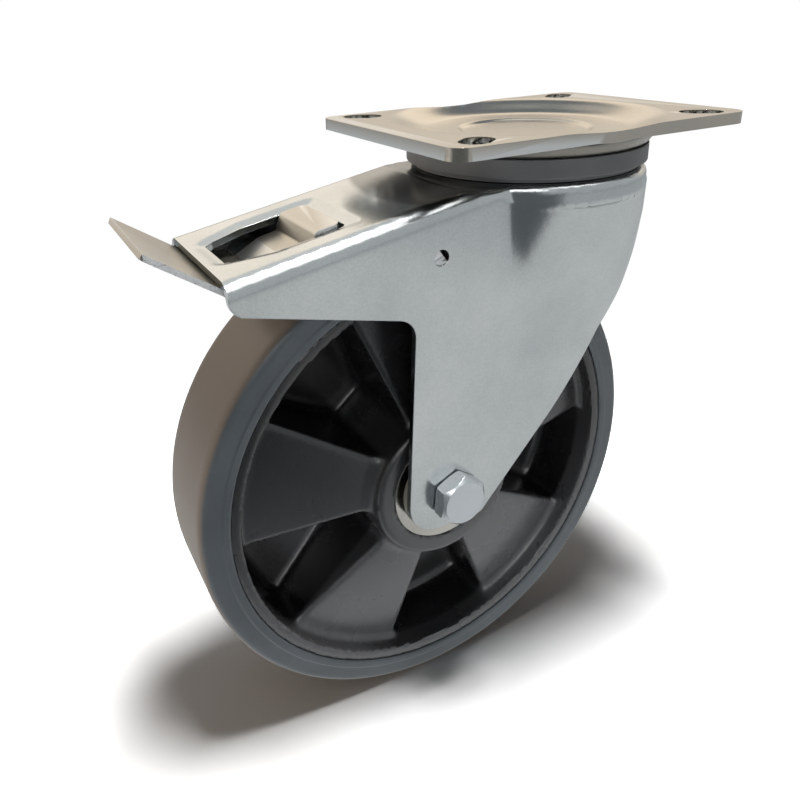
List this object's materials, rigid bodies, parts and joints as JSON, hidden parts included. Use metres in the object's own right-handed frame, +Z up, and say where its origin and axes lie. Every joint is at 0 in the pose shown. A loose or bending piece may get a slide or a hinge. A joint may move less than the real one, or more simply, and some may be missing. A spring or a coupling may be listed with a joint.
{
  "type": "swivel castor",
  "caption": "Swivel castor with a top plate, a pressed fork, a rubber-tyred wheel on ball bearings and a foot pedal that brakes wheel and swivel.",
  "frame": {"origin": "on the swivel axis at the top face of the plate, centred between the four bolt slots", "axes": "+Z up along the swivel axis and out of the plate's top face; the wheel trails towards -X and the plate's long side runs along X; +Y along the axle, towards the nut"},
  "size_m": [0.2303, 0.1005, 0.24],
  "materials": {
    "plate_steel": "zinc-plated pressed steel, semi-gloss with fine rolling marks",
    "fork_steel": "zinc-plated pressed steel, semi-gloss, cool grey with a green tint",
    "pedal_steel": "zinc-plated sheet steel with bright sheared edges",
    "brake_steel": "zinc-plated sheet steel, satin",
    "bolt_steel": "zinc-plated turned and forged steel, bright",
    "race_steel": "ground bearing steel, bright",
    "hard_steel": "hardened steel, dark satin",
    "spring_steel": "drawn spring wire, satin",
    "seal_plastic": "satin moulded plastic, mid grey",
    "shield_plastic": "cream moulded bearing shield",
    "rim_nylon": "black moulded nylon, satin, fine moulded grain",
    "tyre_rubber": "blue-grey elastic rubber, satin flanks and smooth tread",
    "shoe_rubber": "black friction rubber, matte"
  },
  "bodies": {
    "plate": {"top_plate": "plate_steel", "seal_ring": "seal_plastic", "kingpin": "bolt_steel", "lower_race_cup": "hard_steel", "swivel_lock_disc": "hard_steel", "king_nut": "bolt_steel"},
    "fork": {"fork": "fork_steel", "upper_balls": "race_steel", "lower_balls": "race_steel", "axle_bolt": "bolt_steel", "axle_washer": "bolt_steel", "axle_nut": "bolt_steel", "axle_tube": "hard_steel", "distance_collars": "hard_steel", "bearing_spacer": "hard_steel", "near_bearing_inner_ring": "race_steel", "near_bearing_balls": "race_steel", "far_bearing_inner_ring": "race_steel", "far_bearing_balls": "race_steel", "pedal_pin": "bolt_steel"},
    "wheel": {"rim": "rim_nylon", "tyre": "tyre_rubber", "near_bearing_outer_ring": "race_steel", "near_bearing_shields": "shield_plastic", "far_bearing_outer_ring": "race_steel", "far_bearing_shields": "shield_plastic"},
    "pedal": {"brake_pedal": "pedal_steel", "pedal_spring": "spring_steel"},
    "brake": {"brake_plate": "brake_steel", "brake_shoe": "shoe_rubber"}
  },
  "joints": [
    {"name": "swivel", "type": "hinge", "parent": "plate", "child": "fork", "pos_m": [0, 0, 0], "axis": [0, 0, 1], "continuous": true},
    {"name": "wheel_spin", "type": "hinge", "parent": "fork", "child": "wheel", "pos_m": [-0.055, 0, -0.14], "axis": [0, 1, 0], "continuous": true},
    {"name": "pedal_press", "type": "hinge", "parent": "fork", "child": "pedal", "pos_m": [-0.104, 0, -0.04102], "axis": [0, -1, 0], "range_deg": [0, 9]},
    {"name": "brake_plate_press", "type": "hinge", "parent": "fork", "child": "brake", "pos_m": [-0.0618, 0, -0.0404], "axis": [0, -1, 0], "range_deg": [0, 2.52]}
  ],
  "couplings": [
    {"joint": "brake_plate_press", "follows": "pedal_press", "ratio": 0.28}
  ]
}
